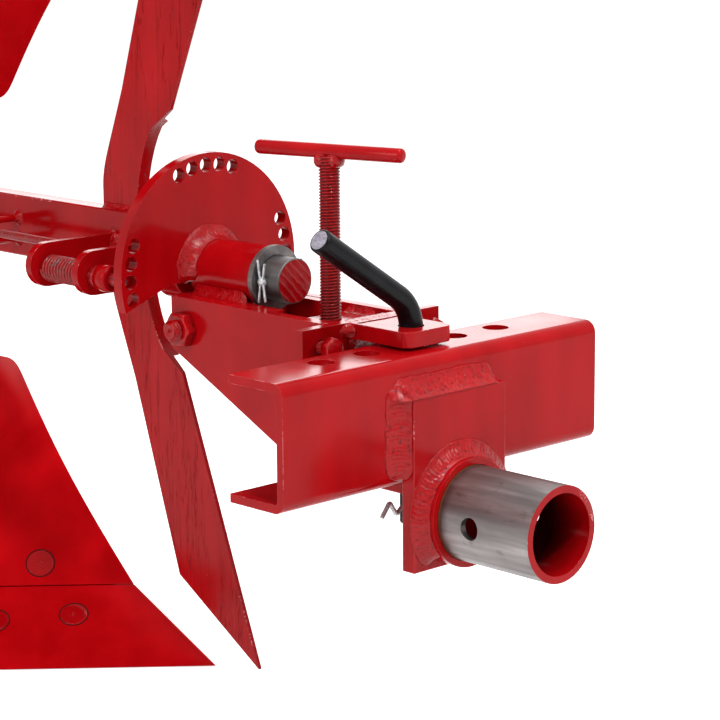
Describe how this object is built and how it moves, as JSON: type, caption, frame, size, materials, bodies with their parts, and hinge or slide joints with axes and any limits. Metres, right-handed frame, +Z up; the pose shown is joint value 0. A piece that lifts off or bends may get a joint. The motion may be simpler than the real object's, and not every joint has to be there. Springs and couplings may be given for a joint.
{
  "type": "reversible mouldboard plough",
  "caption": "Reversible mouldboard plough for a walking tractor: tube coupling on a cross channel, swing and pitch frame, index disc with latch, knives and opposed plough bodies.",
  "frame": {"origin": "middle of the footprint, on the ground under the plough", "axes": "+X forwards to the tractor, +Y to the land side of the bodies, +Z up"},
  "size_m": [0.7238, 0.3598, 0.568],
  "materials": {
    "red_paint": "gloss red enamel over welded steel",
    "turned_steel": "bare turned steel, oiled",
    "black_steel": "satin black",
    "zinc_steel": "zinc-plated wire"
  },
  "bodies": {
    "hitch": {"cross_channel": "red_paint", "coupling_plate": "red_paint", "coupling_tube": "turned_steel", "coupling_collar": "red_paint", "swing_pin": "black_steel", "pin_clip": "zinc_steel"},
    "swing_frame": {"top_tongue": "red_paint", "bottom_tongue": "red_paint", "cross_plate": "red_paint", "stop_bolt_right": "red_paint", "stop_bolt_left": "red_paint", "cheek_right": "red_paint", "cheek_left": "red_paint", "screw_block": "red_paint", "pivot_bolt": "red_paint"},
    "screw": {"depth_screw": "red_paint"},
    "pitch_frame": {"pitch_arm_right": "red_paint", "pitch_arm_left": "red_paint", "screw_bridge": "red_paint", "pivot_bush": "red_paint", "shaft_sleeve": "red_paint", "saddle_front": "red_paint", "saddle_rear": "red_paint", "index_disc": "red_paint"},
    "plough_beam": {"turnover_shaft": "turned_steel", "shaft_washer": "turned_steel", "split_pin": "zinc_steel", "shaft_hub": "red_paint", "beam": "red_paint", "latch_ear_front": "red_paint", "latch_ear_rear": "red_paint", "latch_spring": "red_paint", "guide_eye": "red_paint", "knife_upper": "red_paint", "knife_lower": "red_paint", "leg_upper": "red_paint", "landside_upper": "red_paint", "mouldboard_upper": "red_paint", "share_upper": "red_paint", "frog_upper": "red_paint", "brace_upper": "red_paint", "leg_lower": "red_paint", "landside_lower": "red_paint", "mouldboard_lower": "red_paint", "share_lower": "red_paint", "frog_lower": "red_paint", "brace_lower": "red_paint"},
    "latch_rod": {"latch_pin": "red_paint", "pull_rod": "red_paint"}
  },
  "joints": [
    {"name": "swing", "type": "hinge", "parent": "hitch", "child": "swing_frame", "pos_m": [0.23664, 0.04238, 0.218], "axis": [0, 0, 1], "range_deg": [-5, 5]},
    {"name": "pitch", "type": "hinge", "parent": "swing_frame", "child": "pitch_frame", "pos_m": [0.06164, 0.04238, 0.2483], "axis": [0, -1, 0], "range_deg": [-5, 5]},
    {"name": "screw_travel", "type": "slide", "parent": "swing_frame", "child": "screw", "axis": [0, 0, 1], "range_m": [-0.009, 0.009]},
    {"name": "turnover", "type": "hinge", "parent": "pitch_frame", "child": "plough_beam", "pos_m": [0, 0.04238, 0.284], "axis": [-1, 0, 0], "range_deg": [0, 180]},
    {"name": "latch", "type": "slide", "parent": "plough_beam", "child": "latch_rod", "axis": [1, 0, 0], "range_m": [0, 0.008]}
  ],
  "couplings": [
    {"joint": "screw_travel", "follows": "pitch", "m_per_rad": 0.1027}
  ]
}
